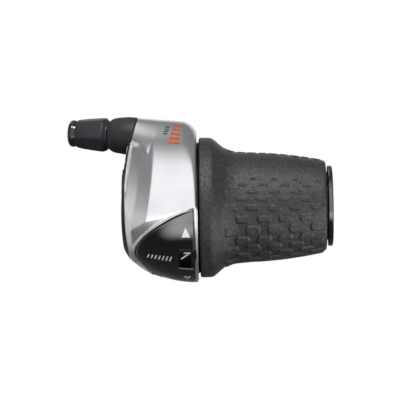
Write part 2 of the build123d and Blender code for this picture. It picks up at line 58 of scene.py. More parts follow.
def add(tree, kind, links=(), **settings):
    """Adds a node. links maps an input's name or number to a value or to another node's output."""
    made = tree.nodes.new(kind)
    for name, value in settings.items():
        setattr(made, name, value)
    for key, value in dict(links).items():
        if isinstance(value, bpy.types.NodeSocket):
            tree.links.new(value, made.inputs[key])
        else:
            made.inputs[key].default_value = value
    return made


def finish(name, dark, light, grain, depth, rough, swing=0.05, stretch=(1, 1, 1), patch=7.0, speckle=0.0,
           **gloss):
    """A real surface finish. Its colour wanders between two shades over patches, and a grain roughens it.

    grain, depth and patch are in millimetres. stretch shortens the grain along an axis, as on brushed or
    turned metal. speckle lightens the top of the grain. gloss names other sockets of the shader.
    """
    mat = bpy.data.materials.new(name)
    mat.use_nodes = True
    tree = mat.node_tree
    tree.nodes.clear()
    place = add(tree, "ShaderNodeTexCoord").outputs["Object"]
    along = add(tree, "ShaderNodeMapping", {"Vector": place, "Scale": stretch}).outputs[0]
    patches = add(tree, "ShaderNodeTexNoise", {"Vector": along, "Scale": 1 / (patch * MM), "Detail": 3.0})
    grains = add(tree, "ShaderNodeTexNoise", {"Vector": along, "Scale": 1 / (grain * MM), "Detail": 2.0})
    coarse = add(tree, "ShaderNodeTexVoronoi", {"Vector": along, "Scale": 0.7 / (grain * MM)})
    height = add(tree, "ShaderNodeMath", {0: grains.outputs[0], 1: coarse.outputs["Distance"]},
                 operation="ADD")
    shade = add(tree, "ShaderNodeMapRange", {0: patches.outputs[0], 1: 0.35, 2: 0.65})
    spots = add(tree, "ShaderNodeMapRange", {0: grains.outputs[0], 1: 0.5, 2: 0.72, 3: 0.0, 4: speckle})
    share = add(tree, "ShaderNodeMath", {0: shade.outputs[0], 1: spots.outputs[0]},
                operation="ADD", use_clamp=True)
    tint = add(tree, "ShaderNodeMix", {0: share.outputs[0], 6: colour(dark), 7: colour(light)},
               data_type="RGBA")
    dull = add(tree, "ShaderNodeMapRange", {0: grains.outputs[0], 1: 0.3, 2: 0.7,
                                            3: rough - swing, 4: rough + swing})
    bump = add(tree, "ShaderNodeBump", {"Height": height.outputs[0], "Distance": depth * MM, "Strength": 1.0})
    shader = add(tree, "ShaderNodeBsdfPrincipled",
                 {"Base Color": tint.outputs[2], "Roughness": dull.outputs[0], "Normal": bump.outputs[0],
                  **gloss})
    add(tree, "ShaderNodeOutputMaterial", {"Surface": shader.outputs[0]})
    return mat


# Sprayed ABS with fine metal flake: broad soft highlights over an almost smooth skin
silver_paint = finish("satin silver lacquer", "#D3D5D8", "#DFE0E2", 0.16, 0.0002, 0.29, 0.02, patch=14,
                      Metallic=0.88, **{"Coat Weight": 0.4, "Coat Roughness": 0.10})
# ABS from a polished mould: near black, with a mirror-like sheen
gloss_black = finish("gloss black moulding", "#050506", "#08080A", 0.35, 0.0002, 0.13, 0.02, patch=12,
                     **{"Coat Weight": 1.0, "Coat Roughness": 0.08, "Specular IOR Level": 1.0})
# Glass-filled nylon from a spark-eroded mould: dull and evenly grained
black_nylon = finish("moulded black nylon", "#1A1A1C", "#222225", 0.22, 0.010, 0.48, 0.06, speckle=0.3,
                     **{"Specular IOR Level": 0.22})
# The knob's nylon, a shade bluer, with flats that catch a soft light
knob_nylon = finish("satin black knob nylon", "#1C1C1F", "#25252A", 0.26, 0.008, 0.38, 0.06, speckle=0.3,
                    **{"Specular IOR Level": 0.25})
# Polished collar at the knob's end: sharp small highlights
collar_gloss = finish("glossy black collar", "#161617", "#202022", 0.3, 0.002, 0.14, 0.03)
# Thermoplastic rubber: its fine grain is drawn about twice its real size, so that it shows
grip_rubber = finish("fine grained soft rubber", "#1B1B1C", "#29292B", 0.34, 0.12, 0.42, 0.12, patch=1.5,
                     speckle=0.9, **{"Specular IOR Level": 0.25})
# Acetal ring with a turned, polished rim: a thin bright line round the housing's mouth
seal_gloss = finish("gloss black seal ring", "#0C0C0D", "#141416", 0.3, 0.001, 0.18, 0.04)
# Pad-printed inks: flat colour, slightly glossier than the lacquer beneath
orange_print = finish("orange print", "#EC6427", "#F2733A", 0.2, 0.002, 0.38, 0.04)
dark_print = finish("charcoal print", "#303238", "#3B3D44", 0.2, 0.002, 0.38, 0.04)
white_print = finish("white print", "#E9EAEC", "#F6F6F7", 0.2, 0.002, 0.35, 0.04)
grey_print = finish("pale grey print", "#A9ABAF", "#B9BBBE", 0.2, 0.002, 0.35, 0.04)
# Clear moulded acrylic: see-through from the front, and a dark mirror at a slant
clear_pane = finish("clear polished acrylic", "#08080A", "#0E0E10", 0.5, 0.0002, 0.06, 0.01,
                    **{"IOR": 1.49, "Coat Weight": 1.0, "Coat Roughness": 0.03})
pane_tree = clear_pane.node_tree
glance = add(pane_tree, "ShaderNodeLayerWeight", {"Blend": 0.35}).outputs["Facing"]
solid = add(pane_tree, "ShaderNodeMapRange", {0: glance, 1: 0.25, 2: 1.0, 3: 0.04, 4: 0.6}).outputs[0]
pane_shader = next(node for node in pane_tree.nodes if node.type == "BSDF_PRINCIPLED")
pane_tree.links.new(solid, pane_shader.inputs["Alpha"])
# Unpainted acetal: the white drum and pulley look waxy, the black dial and detent ring smooth
acetal_white = finish("natural white acetal", "#D9D8D2", "#E6E5E0", 0.3, 0.004, 0.40)
acetal_black = finish("smooth black acetal", "#101011", "#18181A", 0.3, 0.003, 0.36)
# Bare and plated metals: lines across the length where they were drawn, rolled or turned
zinc_steel = finish("zinc plated steel", "#A9ACB0", "#C4C6C9", 0.25, 0.006, 0.30, 0.08,
                    stretch=(1, 1, 6), Metallic=1.0)
black_steel = finish("black oxide steel", "#1B1B1D", "#29292B", 0.2, 0.006, 0.38, 0.08, Metallic=0.7)
spring_steel = finish("rolled spring steel", "#8E9094", "#A4A6A9", 0.2, 0.004, 0.28, 0.06,
                      stretch=(1, 8, 1), Metallic=1.0)
turned_brass = finish("turned brass", "#B98C45", "#CDA35C", 0.2, 0.006, 0.27, 0.06,
                      stretch=(8, 1, 1), Metallic=1.0)
# Moulded nitrile: matt, without grain to speak of
nitrile = finish("nitrile rubber", "#121213", "#1C1C1D", 0.2, 0.006, 0.55)
# Paper backdrop, lit a little from within so that it stays pale under the object
pale_floor = finish("pale matt floor", "#EDEDED", "#F4F4F4", 3.0, 0.02, 0.8,
                    **{"Emission Color": (1, 1, 1, 1), "Emission Strength": 0.4})

node_finish = {
    "base_housing": black_nylon, "cable_hatch_plug": black_nylon, "grip_sleeve": black_nylon,
    "clamp_band": zinc_steel, "clamp_nut": zinc_steel, "pulley_pin": zinc_steel, "detent_screw": zinc_steel,
    "adjuster_screw": zinc_steel, "clamp_bolt": black_steel, "cover_screws": black_steel,
    "detent_spring": spring_steel, "adjuster_nut": turned_brass, "adjuster_o_ring": nitrile,
    "cable_drum": acetal_white, "thrust_washer": acetal_white, "guide_pulley": acetal_white,
    "detent_ring": acetal_black, "number_dial": acetal_black,
}
for name, mat in node_finish.items():
    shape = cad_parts[name].data
    shape.materials.clear()
    shape.materials.append(mat)


# ---------------------------------------------------------------- shapes

def smooth(start, end, value):
    share = np.clip((value - start) / (end - start), 0, 1)
    return share * share * (3 - 2 * share)


def over(value, ease=0.25):
    """The part of value above zero, eased round the corner."""
    return (value + np.sqrt(value * value + ease * ease)) / 2


def curve_through(points, count):
    """Evenly listed points on a smooth curve through the given ones."""
    p = np.array(points, float)
    t = np.concatenate([[0], np.cumsum(np.sqrt(np.linalg.norm(np.diff(p, axis=0), axis=1)))])
    slopes = np.gradient(p, t, axis=0)
    u = np.linspace(0, t[-1], count)
    i = np.clip(np.searchsorted(t, u, side="right") - 1, 0, len(t) - 2)
    h = (t[i + 1] - t[i])[:, None]
    f = (u - t[i])[:, None] / h
    return ((2 * f**3 - 3 * f**2 + 1) * p[i] + (f**3 - 2 * f**2 + f) * h * slopes[i]
            + (3 * f**2 - 2 * f**3) * p[i + 1] + (f**3 - f**2) * h * slopes[i + 1])


def evenly(points, step, closed=True):
    """The same outline with points about a step apart. Its ends and its corners stay where they are."""
    p = np.array(points, float)
    if closed:
        p = np.vstack([p, p[:1]])
    run = np.concatenate([[0], np.cumsum(np.linalg.norm(np.diff(p, axis=0), axis=1))])
    corner_turn = 0.3
    stops = [run[0]]
    for i in range(1, len(run)):
        turn = math.pi
        if i < len(run) - 1:
            a, b = p[i] - p[i - 1], p[i + 1] - p[i]
            turn = abs(math.atan2(a[0] * b[1] - a[1] * b[0], a @ b))
        length = run[i] - stops[-1]
        if turn > corner_turn and length > 1e-6:
            count = max(2, int(round(length / step)) + 1)
            stops += list(np.linspace(stops[-1], run[i], count)[1:])
    out = np.column_stack([np.interp(stops, run, p[:, k]) for k in (0, 1)])
    return out[:-1] if closed else out


def gap_to(points, outline, closed=True):
    """Distance of each point to an outline."""
    a = np.array(outline, float)
    b = np.roll(a, -1, axis=0)
    if not closed:
        a, b = a[:-1], b[:-1]
    best = np.full(len(points), 1e9)
    for s, e in zip(a, b):
        d = e - s
        share = np.clip((points - s) @ d / max(d @ d, 1e-12), 0, 1)
        best = np.minimum(best, np.linalg.norm(points - s - share[:, None] * d, axis=1))
    return best


def within(points, outlines):
    """Whether each point is inside the first outline and outside the others."""
    odd = np.zeros(len(points), bool)
    x, y = points[:, 0], points[:, 1]
    for outline in outlines:
        a = np.array(outline, float)
        for (x0, y0), (x1, y1) in zip(a, np.roll(a, -1, axis=0)):
            if y0 != y1:
                odd ^= ((y0 > y) != (y1 > y)) & (x < (x1 - x0) * (y - y0) / (y1 - y0) + x0)
    return odd


def piece(name, points, faces, mat, sharp=38, thick=0.0):
    """A mesh piece from points in millimetres. thick gives a skin that much wall, inwards."""
    mesh = bpy.data.meshes.new(name)
    mesh.from_pydata([tuple(float(c) * MM for c in p) for p in points], [], faces)
    mesh.validate()
    made = bpy.data.objects.new(name, mesh)
    scene.collection.objects.link(made)
    if thick:
        wall = made.modifiers.new("wall", "SOLIDIFY")
        wall.thickness, wall.offset, wall.use_even_offset = thick * MM, -1.0, False
        ready = bpy.data.meshes.new_from_object(made.evaluated_get(bpy.context.evaluated_depsgraph_get()))
        made.modifiers.clear()
        made.data = ready
    made.data.materials.clear()
    made.data.materials.append(mat)
    made.data.shade_smooth()
    made.data.set_sharp_from_angle(angle=math.radians(sharp))
    return made


def skin(name, outlines, step, lift, mat, thick, rows=(), sharp=38):
    """A moulded skin over flat outlines, of which the first is the outer one and the others are holes.

    lift places its points, given their distance from the edge. rows are the distances from the edge at
    which lines of points follow it, close together where the edge is rolled.
    """
    rims = [evenly(o, step) for o in outlines]
    points, edges = [], []
    for rim in rims:
        first = len(points)
        points += list(rim)
        edges += [(first + i, first + (i + 1) % len(rim)) for i in range(len(rim))]
    extra = []
    for row in rows:
        for rim in rims:
            ahead = np.roll(rim, -1, axis=0) - np.roll(rim, 1, axis=0)
            side = np.column_stack([-ahead[:, 1], ahead[:, 0]]) / np.linalg.norm(ahead, axis=1)[:, None]
            for sign in (-1, 1):
                moved = rim + side * row * sign
                nearest = np.min([gap_to(moved, r) for r in rims], axis=0)
                extra.append(moved[within(moved, rims) & (nearest > row * 0.93)])
    everything = np.vstack(rims)
    lo, hi = everything.min(0), everything.max(0)
    across = np.arange(lo[0], hi[0] + step, step)
    up = np.arange(lo[1], hi[1] + step, step * 0.866)
    grid = np.array([(x + (j % 2) * step / 2, y) for j, y in enumerate(up) for x in across])
    grid = grid[within(grid, rims)]
    nearest = np.min([gap_to(grid, r) for r in rims], axis=0)
    extra.append(grid[nearest > (rows[-1] if rows else 0) + step * 0.5])
    points += [p for block in extra for p in block]
    seeds = [Vector((float(p[0]), float(p[1]))) for p in points]
    verts, _, faces, *_ = delaunay_2d_cdt(seeds, edges, [], 0, 1e-7)
    flat = np.array([tuple(v) for v in verts])
    faces = np.array([tuple(f) for f in faces if len(f) == 3])
    faces = faces[within(flat[faces].mean(axis=1), rims)]
    a, b, c = flat[faces[:, 0]], flat[faces[:, 1]], flat[faces[:, 2]]
    area = (b[:, 0] - a[:, 0]) * (c[:, 1] - a[:, 1]) - (b[:, 1] - a[:, 1]) * (c[:, 0] - a[:, 0])
    faces = np.where((area > 0)[:, None], faces, faces[:, ::-1])[np.abs(area) > 1e-9]
    used = np.unique(faces)
    renumber = np.zeros(len(flat), int)
    renumber[used] = np.arange(len(used))
    flat = flat[used]
    nearest = np.min([gap_to(flat, r) for r in rims], axis=0)
    return piece(name, lift(flat[:, 0], flat[:, 1], nearest), renumber[faces].tolist(), mat, sharp, thick)


def rounded(profile, radius):
    """A closed profile with every corner rounded."""
    p = [np.array(q, float) for q in profile]
    out = []
    for before, here, after in zip(p[-1:] + p[:-1], p, p[1:] + p[:1]):
        back, ahead = before - here, after - here
        lb, la = np.linalg.norm(back), np.linalg.norm(ahead)
        cut = min(radius, 0.42 * lb, 0.42 * la)
        start, end = here + back / lb * cut, here + ahead / la * cut
        out += [(1 - f) ** 2 * start + 2 * f * (1 - f) * here + f * f * end for f in np.linspace(0, 1, 5)]
    return out


def turned(name, profile, mat, axis=None, radius=0.2, around=160, shape=None, place=None, sharp=40):
    """A turned piece.

    The profile lists (radius, distance along the axis), and axis is (root, direction, side). shape gives
    the radii round the axis where the piece isn't round, and place moves its points at the end.
    """
    root, ahead, side = axis or (np.zeros(3), np.array([1.0, 0, 0]), np.array([0, -1.0, 0]))
    other = np.cross(ahead, side)
    ring = np.array(rounded(profile, radius) if radius else profile, float)
    turn = np.linspace(0, 2 * math.pi, around, endpoint=False)
    points = []
    for r, t in ring:
        radii = np.full(around, r) if shape is None else shape(r, t, turn)
        spokes = np.cos(turn)[:, None] * side + np.sin(turn)[:, None] * other
        points.append(root + t * ahead + radii[:, None] * spokes)
    n = len(ring)
    points = np.vstack(points)
    if place:
        points = place(points)
    faces = [(i * around + j, i * around + (j + 1) % around, (i + 1) % n * around + (j + 1) % around,
              (i + 1) % n * around + j) for i in range(n) for j in range(around)]
    made = piece(name, points, faces, mat, sharp)
    outward(made)
    return made


def outward(made):
    """Turns a closed piece's faces outwards."""
    mesh = made.data
    volume = 0.0
    for f in mesh.polygons:
        v = [mesh.vertices[i].co for i in f.vertices]
        for k in range(1, len(v) - 1):
            volume += v[0].dot(v[k].cross(v[k + 1]))
    if volume < 0:
        mesh.flip_normals()


# ---------------------------------------------------------------- housing surface

# The housing is drawn on its unrolled outside: x along the bar, and s, the turn times UNROLL
HOUSING_X, FRONT_R, UNROLL = 27.4, 27.3, 26.0
OPENING_X = 26.5
opening_points = [(OPENING_X, -0.3), (17.5, -4.3), (7.9, -11.2), (4.75, -17.2), (9.7, -23.4), (16.0, -26.4)]
crease_line = np.array([(2.9, -8.4), (8.8, -4.8), (17.5, -2.5), (26.3, 0.2)])


def edge_x(z):
    """Where the cover's left edge, an arc, stands at height z."""
    arc = 110.0
    return 1 + arc - np.sqrt(arc**2 - np.clip(z, -60, 60) ** 2)


def oval(full, x, bend, power):
    """Radius of a dome that grows from the left wall to full at the housing's right end."""
    reach = 28.5
    return full * (1 - np.clip((HOUSING_X - x) / reach, 0, 0.9999) ** bend) ** power


def housing_radii(x, z):
    """Front, back, top and bottom radius of the housing's sections, and how clear of the left edge x is."""
    back, bottom = oval(26.8, x, 3.0, 0.20), oval(27.7, x, 1.8, 0.2625)
    top = 33.9 - 0.09 * x - 5.5 * (1 - np.sqrt(1 - np.clip((x - 22) / 6, 0, 0.95) ** 2))
    face = FRONT_R - 0.95 * ((HOUSING_X - x) / 16.9) ** 2
    # The base's left wall, which the cover's edge is flush with, has straight facets
    wall = np.minimum(np.minimum(face, 26.35 - (10.5 - x) * math.tan(math.radians(26))), 23.91 - (5.5 - x))
    # Two facets fall away to the left of curved creases, and end above in a petal of the dome
    outer_crease = 12.0 - 0.01277 * np.clip(21 - z, 0, None) ** 1.7
    inner_crease = 7.8 - 0.0293 * np.clip(23 - z, 0, None) ** 1.5
    facets = face - 0.42 * over(outer_crease - x) - 0.43 * over(inner_crease - x)
    dome = np.minimum(oval(FRONT_R, x, 3.0, 0.20), face + 0.25)
    petal = 26.2 - 0.36 * x - 1.6 * np.exp(-((x - 9.9) / 1.3) ** 2) + 2.2 * np.clip(x - 9.9, 0, None)
    below = np.clip((petal + 0.2 - z) / 3.0, 0, 1)
    front = dome + (facets - dome) * (1 - (1 - below) ** 2)
    from_edge = x - edge_x(z)
    flush = smooth(0, 1, from_edge / (0.7 + 1.9 * smooth(8, -8, z)))
    return wall + (front - wall) * flush, back, top, bottom, smooth(0.1, 2.6, from_edge)


def cover_sink(x, z, clear):
    """How far the cover falls away towards the display, below its long crease."""
    below = over(np.interp(x, crease_line[:, 0], crease_line[:, 1]) - z, 0.2)
    return 1.05 * (1 - np.exp(-0.19 * below)) * clear * (0.3 + 0.7 * smooth(-25, -13, z))


def on_housing(x, s, sink=0.0, fall=1.0):
    """Points of the housing's outside at x and s. fall is the share taken of the fall to the display."""
    turn = s / UNROLL
    high = np.sin(turn)
    _, _, top, bottom, _ = housing_radii(x, np.zeros_like(x))
    z = np.where(high > 0, top, bottom) * high
    front, back, top, bottom, clear = housing_radii(x, z)
    sink = sink + cover_sink(x, z, clear) * fall
    deep = np.where(np.cos(turn) > 0, front, back) - sink
    tall = np.where(high > 0, top, bottom) - sink
    return np.column_stack([x, -deep * np.cos(turn), tall * high])


def unroll(x, z):
    """Unrolled height of a point seen from the front at x, z."""
    _, _, top, bottom, _ = housing_radii(x, z)
    return UNROLL * np.arcsin(np.clip(z / np.where(z > 0, top, bottom), -1, 1))


def split_line(x, sign, behind=3.0):
    """Unrolled height of the joint between cover and base."""
    _, back, _, _, _ = housing_radii(x, np.zeros_like(x))
    return sign * UNROLL * (math.pi / 2 + np.arcsin(behind / back))


def opening(gap):
    """The display's opening, unrolled, from its sharp right end round to the joint line below."""
    p = curve_through(opening_points, 400)
    ahead = np.gradient(p, axis=0)
    side = np.column_stack([-ahead[:, 1], ahead[:, 0]]) / np.linalg.norm(ahead, axis=1)[:, None]
    p = p + side * gap
    p = p[p[:, 0] < OPENING_X - gap]
    _, _, _, bottom, _ = housing_radii(p[:, 0], p[:, 1])
    p = p[:np.argmax(p[:, 1] < -0.985 * bottom) or len(p)]
    line = np.column_stack([p[:, 0], unroll(p[:, 0], p[:, 1])])
    # A tail turns the curve's end on to the joint line, which can't be seen from the front
    x_end = line[-1, 0] + 0.9
    s_end = split_line(np.array([x_end]), -1, 3.0 - gap)[0]
    bend = (x_end, (line[-1, 1] + s_end) / 2 - 0.6)
    tail = curve_through([line[-9], line[-1], bend, (x_end + 0.15, s_end)], 40)
    slope = (line[0, 1] - line[4, 1]) / (line[0, 0] - line[4, 0])
    start = (OPENING_X - gap, line[0, 1] + slope * (OPENING_X - gap - line[0, 0]))
    return np.vstack([[start], line[:-9], tail])


INSERT_GAP = 0.3
hole = opening(0.0)
insert_edge = opening(INSERT_GAP)


def left_edge(count):
    """The cover's curved left edge from top to bottom, unrolled."""
    s = np.linspace(UNROLL * (math.pi / 2 + 0.15), -UNROLL * (math.pi / 2 + 0.13), count)
    x = np.full(count, 1.5)
    for _ in range(8):
        _, _, top, bottom, _ = housing_radii(x, np.zeros_like(x))
        z = np.where(s > 0, top, bottom) * np.sin(s / UNROLL)
        x = edge_x(z) + 0.1
    s[0], s[-1] = split_line(x[:1], 1)[0], split_line(x[-1:], -1)[0]
    return np.column_stack([x, s])


edge = left_edge(160)
along_bottom = np.linspace(edge[-1, 0], hole[-1, 0], 30)[1:]
below_right = np.linspace(OPENING_X, HOUSING_X - 0.02, 4)
along_top = np.linspace(HOUSING_X - 0.02, edge[0, 0], 60)[:-1]
cover_outline = np.vstack([
    edge,
    np.column_stack([along_bottom, split_line(along_bottom, -1)]),
    hole[::-1],
    [(OPENING_X, split_line(np.array([OPENING_X]), -1)[0])],
    np.column_stack([below_right, split_line(below_right, -1)])[1:],
    np.column_stack([along_top, split_line(along_top, 1)]),
])
hole_line = evenly(hole, 0.3, closed=False)


def rolled(near, radius):
    """Sink of an edge rolled over to a radius."""
    return radius - np.sqrt(np.clip(radius**2 - np.clip(radius - near, 0, None) ** 2, 0, None))


def lift_cover(x, s, near):
    """The cover's outside, with its rolled edge and a bead round the display."""
    away = gap_to(np.column_stack([x, s]), hole_line, closed=False)
    wide = np.interp(x, [5, 12, 20, OPENING_X], [1.25, 1.0, 0.75, 0.45])
    share = np.clip(away / wide, 0, 1.6)
    bead = 0.34 * np.where(share < 1, 1 - (2 * share - 1) ** 2, 0) * smooth(27.2, 26.2, x)
    right = 0.45 * rolled(HOUSING_X - x, 1.5) * (s > hole[0, 1] + 0.5)
    return on_housing(x, s, rolled(near, 0.28) + right - bead)


cover = skin("silver_cover", [cover_outline], 0.36, lift_cover, silver_paint, 1.3,
             rows=(0.05, 0.13, 0.26, 0.45, 0.68, 0.95), sharp=75)
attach(cover, "housing")
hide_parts("top_cover")

# ---------------------------------------------------------------- display

pane_turn, pane_half = -math.radians(44.3), math.radians(9.5)
pane_x = (20.7, 26.0)


def pane_outline(grow, corner=0.5):
    """The window's rounded outline, unrolled and grown all round."""
    x0, x1 = pane_x[0] - grow, pane_x[1] + grow
    s0, s1 = UNROLL * (pane_turn - pane_half) - grow, UNROLL * (pane_turn + pane_half) + grow
    box = [(x0, s0), (x1, s0), (x1, s1), (x0, s1)]
    return np.array(rounded(box, corner))


window = pane_outline(0.0)


def lift_insert(x, s, near, extra=0.0):
    """The insert's outside, a little sunk, with a low lip round the window."""
    inside = gap_to(np.column_stack([x, s]), hole_line, closed=False)
    fall = np.exp(-(inside / 6.5) ** 2)
    frame_gap = gap_to(np.column_stack([x, s]), window)
    outside = ~within(np.column_stack([x, s]), [window])
    lip = 0.13 * np.exp(-((frame_gap - 0.35) / 0.2) ** 2) * outside
    return on_housing(x, s, 0.12 + extra - lip + rolled(near, 0.3), fall)


right_side = np.linspace(insert_edge[-1, 0], 26.3, 40)
insert_outline = np.vstack([
    insert_edge,
    np.column_stack([right_side, split_line(right_side, -1, 2.8)])[1:],
])
insert = skin("display_insert", [insert_outline, window], 0.34, lift_insert, gloss_black, 1.2,
              rows=(0.04, 0.1, 0.18, 0.3, 0.46), sharp=80)
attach(insert, "housing")
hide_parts("display_cover")

pane = skin("display_window", [pane_outline(-0.06, 0.45)], 0.3,
            lambda x, s, near: lift_insert(x, s, 9 + 0 * near, rolled(near, 0.2)), clear_pane, 0.9,
            rows=(0.04, 0.1, 0.18), sharp=65)
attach(pane, "housing")
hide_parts("display_pane")


def print_on(name, shapes, mat, surface, raise_by=0.03):
    """Printed marks: flat shapes seen from the front, laid on a surface as a thin film."""
    films = []
    for i, shape in enumerate(shapes):
        rim = evenly(shape, 0.3)
        seen = np.column_stack([rim[:, 0], unroll(rim[:, 0], rim[:, 1])])
        films.append(skin(f"{name}_{i + 1}", [seen], 0.3,
                          lambda x, s, near: surface(x, s, 9 + 0 * near, -raise_by), mat, 0.06))
    for film in films:
        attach(film, "housing")


def bar(x, z, w, h, lean=0.0):
    """A leaning bar as a shape seen from the front."""
    return [(x - w / 2 - lean * h / 2, z - h / 2), (x + w / 2 - lean * h / 2, z - h / 2),
            (x + w / 2 + lean * h / 2, z + h / 2), (x - w / 2 + lean * h / 2, z + h / 2)]


def ring_shape(points, wide):
    """Sides of an outlined shape as separate bars."""
    p = [np.array(q, float) for q in points]
    middle = sum(p) / len(p)
    inner = [q + (middle - q) * wide for q in p]
    return [[tuple(a), tuple(b), tuple(d), tuple(c)]
            for a, b, c, d in zip(p, p[1:] + p[:1], inner, inner[1:] + inner[:1])]


print_on("up_mark", [[(21.85, -10.7), (25.0, -10.7), (23.35, -7.2)]], white_print,
         lift_insert)
print_on("down_mark", ring_shape([(22.1, -25.05), (24.9, -25.05), (23.5, -26.1)], 0.42), grey_print,
         lift_insert)
GEARS = 7
ticks = [bar(9.6 + 1.35 * i, -17.5 - 0.16 * i, 0.5, 1.15 + 0.09 * i, 0.45) for i in range(GEARS)]
print_on("gear_ticks", ticks, grey_print, lift_insert)


def lift_cover_print(x, s, near, extra=0.0):
    """The cover's plain outside, for the prints on it."""
    return on_housing(x, s, extra)


print_on("orange_stripes", [[(17.3 + 0.5 * i, 23.4 + 1.62 * i), (21.7 + 0.1 * i, 22.9 + 1.62 * i),
                             (21.75 + 0.1 * i, 23.75 + 1.6 * i), (17.5 + 0.5 * i, 24.3 + 1.6 * i)]
                            for i in range(5)],
         orange_print, lift_cover_print)
print_on("charcoal_stripes", [[(15.6 + 0.28 * i, 26.9 + 0.85 * i), (17.1 + 0.28 * i, 26.7 + 0.85 * i),
                               (17.15 + 0.28 * i, 27.15 + 0.84 * i), (15.65 + 0.28 * i, 27.35 + 0.84 * i)]
                              for i in range(4)],
         dark_print, lift_cover_print)


DIAL_R, DIAL_STEP, SHOWN_TURN = 24.52, 20.0, 45.2
NUMERAL_X, NUMERAL_TALL, NUMERAL_WIDE, ONE_WIDE = 23.35, 3.6, 4.4, 2.8


def numeral(text, turn):
    """A wide, leaning numeral painted on the dial, which turns with the grip."""
    font = bpy.data.curves.new("numeral", "FONT")
    font.body, font.size, font.shear, font.align_x, font.align_y = text, 4.6, 0.45, "CENTER", "CENTER"
    font.extrude, font.offset = 0.03, 0.10
    raw = bpy.data.objects.new("numeral", font)
    scene.collection.objects.link(raw)
    bpy.context.view_layer.update()
    flat = bpy.data.meshes.new_from_object(raw.evaluated_get(bpy.context.evaluated_depsgraph_get()))
    bpy.data.objects.remove(raw)
    low, high = ([pick(v.co[k] for v in flat.vertices) for k in (0, 1)] for pick in (min, max))
    for v in flat.vertices:
        across, up = ((v.co[k] - low[k]) / (high[k] - low[k]) - 0.5 for k in (0, 1))
        a = turn + up * NUMERAL_TALL / DIAL_R
        r = DIAL_R + 0.01 + v.co.z
        x = NUMERAL_X + across * (ONE_WIDE if text == "1" else NUMERAL_WIDE)
        v.co = Vector((x * MM, -r * math.cos(a) * MM, r * math.sin(a) * MM))
    made = bpy.data.objects.new(f"numeral_{text}", flat)
    flat.materials.clear()
    flat.materials.append(white_print)
    scene.collection.objects.link(made)
    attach(made, "grip")


for gear in range(1, GEARS + 1):
    numeral(str(gear), -math.radians(SHOWN_TURN + (GEARS - gear) * DIAL_STEP))

# ---------------------------------------------------------------- grip

# Rows of raised pads: (angle above the front, pad width, pad height)
first_rows = [(30.4, 1.8, 0.5), (23.5, 2.9, 0.7), (15.8, 3.7, 0.95), (8.4, 4.4, 1.4), (-0.8, 4.8, 1.85),
              (-13.0, 5.0, 2.4), (-25.3, 5.5, 3.2), (-37.8, 5.5, 3.4), (-49.4, 5.5, 3.4)]
pad_rows = first_rows + [(-61.0, 5.5, 3.4)] + [(-122.0 - a, w, h) for a, w, h in reversed(first_rows)]
hand_rows = len(pad_rows)  # the rows after these lie behind, under the palm, and are lower
second_rows = [(166.2, 1.8, 0.5), (159.3, 2.9, 0.7), (151.6, 3.7, 0.95), (144.2, 4.4, 1.4),
               (135.0, 4.8, 1.85)]
pad_rows += second_rows + [(122.6, 5.0, 2.4)] + [(245.2 - a, w, h) for a, w, h in reversed(second_rows)]
even_x, odd_x = (39.7, 47.7, 55.6, 63.5, 71.3), (44.0, 51.8, 59.5, 67.3)


def pad_height(x, turn, r):
    """Height of the raised pads over the rubber's plain surface."""
    raised = np.zeros_like(x)
    for i, (angle, wide, tall) in enumerate(pad_rows):
        v = (np.degrees(turn) - angle + 180) % 360 - 180
        v = np.abs(np.radians(v)) * r
        share = 1.0
        if i >= hand_rows:
            i, share = i - hand_rows, 0.6
        for centre in (even_x if i % 2 == 0 else odd_x):
            u = np.abs(x - centre)
            out = np.maximum(v - tall / 2, (u + 0.45 * v - wide / 2) * 0.91)
            raised = np.maximum(raised, smooth(0.14, -0.16, out) * share * min(0.58, 0.34 + 0.12 * tall))
    return raised


def build_grip():
    """The rubber: flange, neck and padded handle outside, and the sleeve's cone inside."""
    outside = [(24.9, 28.32), (25.45, 28.5), (25.7, 29.1), (25.68, 30.8), (25.62, 32.3), (25.3, 33.3),
               (24.55, 34.3), (22.75, 36.4), (21.35, 38.4), (20.55, 40.4), (20.15, 42.6), (19.95, 45.0),
               (19.38, 55.2), (18.22, 65.0), (16.75, 73.4), (16.55, 74.1), (16.1, 74.6), (15.4, 74.82),
               (14.4, 74.85)]
    curve = curve_through(outside, 900)
    run = np.concatenate([[0], np.cumsum(np.linalg.norm(np.diff(curve, axis=0), axis=1))])
    stops = np.arange(0, run[-1], 0.27)
    r_out, x_out = np.interp(stops, run, curve[:, 0]), np.interp(stops, run, curve[:, 1])
    inside = [(14.32, 74.8), (14.32, 74.4), (15.95, 58.0), (16.95, 45.0), (17.35, 40.5), (18.75, 37.0),
              (21.35, 34.2), (22.85, 31.8), (22.85, 28.6), (22.85, 28.32), (23.9, 28.3)]
    around = 440
    turn = np.linspace(0, 2 * math.pi, around, endpoint=False)
    rings = []
    for x, r in zip(x_out, r_out):
        padded = float(smooth(37.0, 38.4, x)) * float(smooth(74.5, 73.4, x))
        lift = pad_height(np.full(around, x), turn, r) * padded
        rings.append((np.full(around, x), r + lift))
    rings += [(np.full(around, x), np.full(around, r)) for r, x in inside]
    points = np.vstack([np.column_stack([x, -r * np.cos(turn), r * np.sin(turn)]) for x, r in rings])
    n = len(rings)
    faces = [(i * around + j, i * around + (j + 1) % around, (i + 1) % n * around + (j + 1) % around,
              (i + 1) % n * around + j) for i in range(n) for j in range(around)]
    made = piece("rubber_grip_cover", points, faces, grip_rubber, 60)
    outward(made)
    return made


grip = build_grip()
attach(grip, "grip")
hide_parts("grip_rubber")

seal_side = [(20.9, 26.6), (20.9, 28.6), (22.8, 28.6), (22.8, 28.3), (23.65, 28.3), (24.15, 28.0),
             (24.25, 27.6), (24.25, 26.6)]
seal = turned("seal_ring", seal_side, seal_gloss, radius=0.3, around=220)
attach(seal, "grip")
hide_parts("dust_seal")

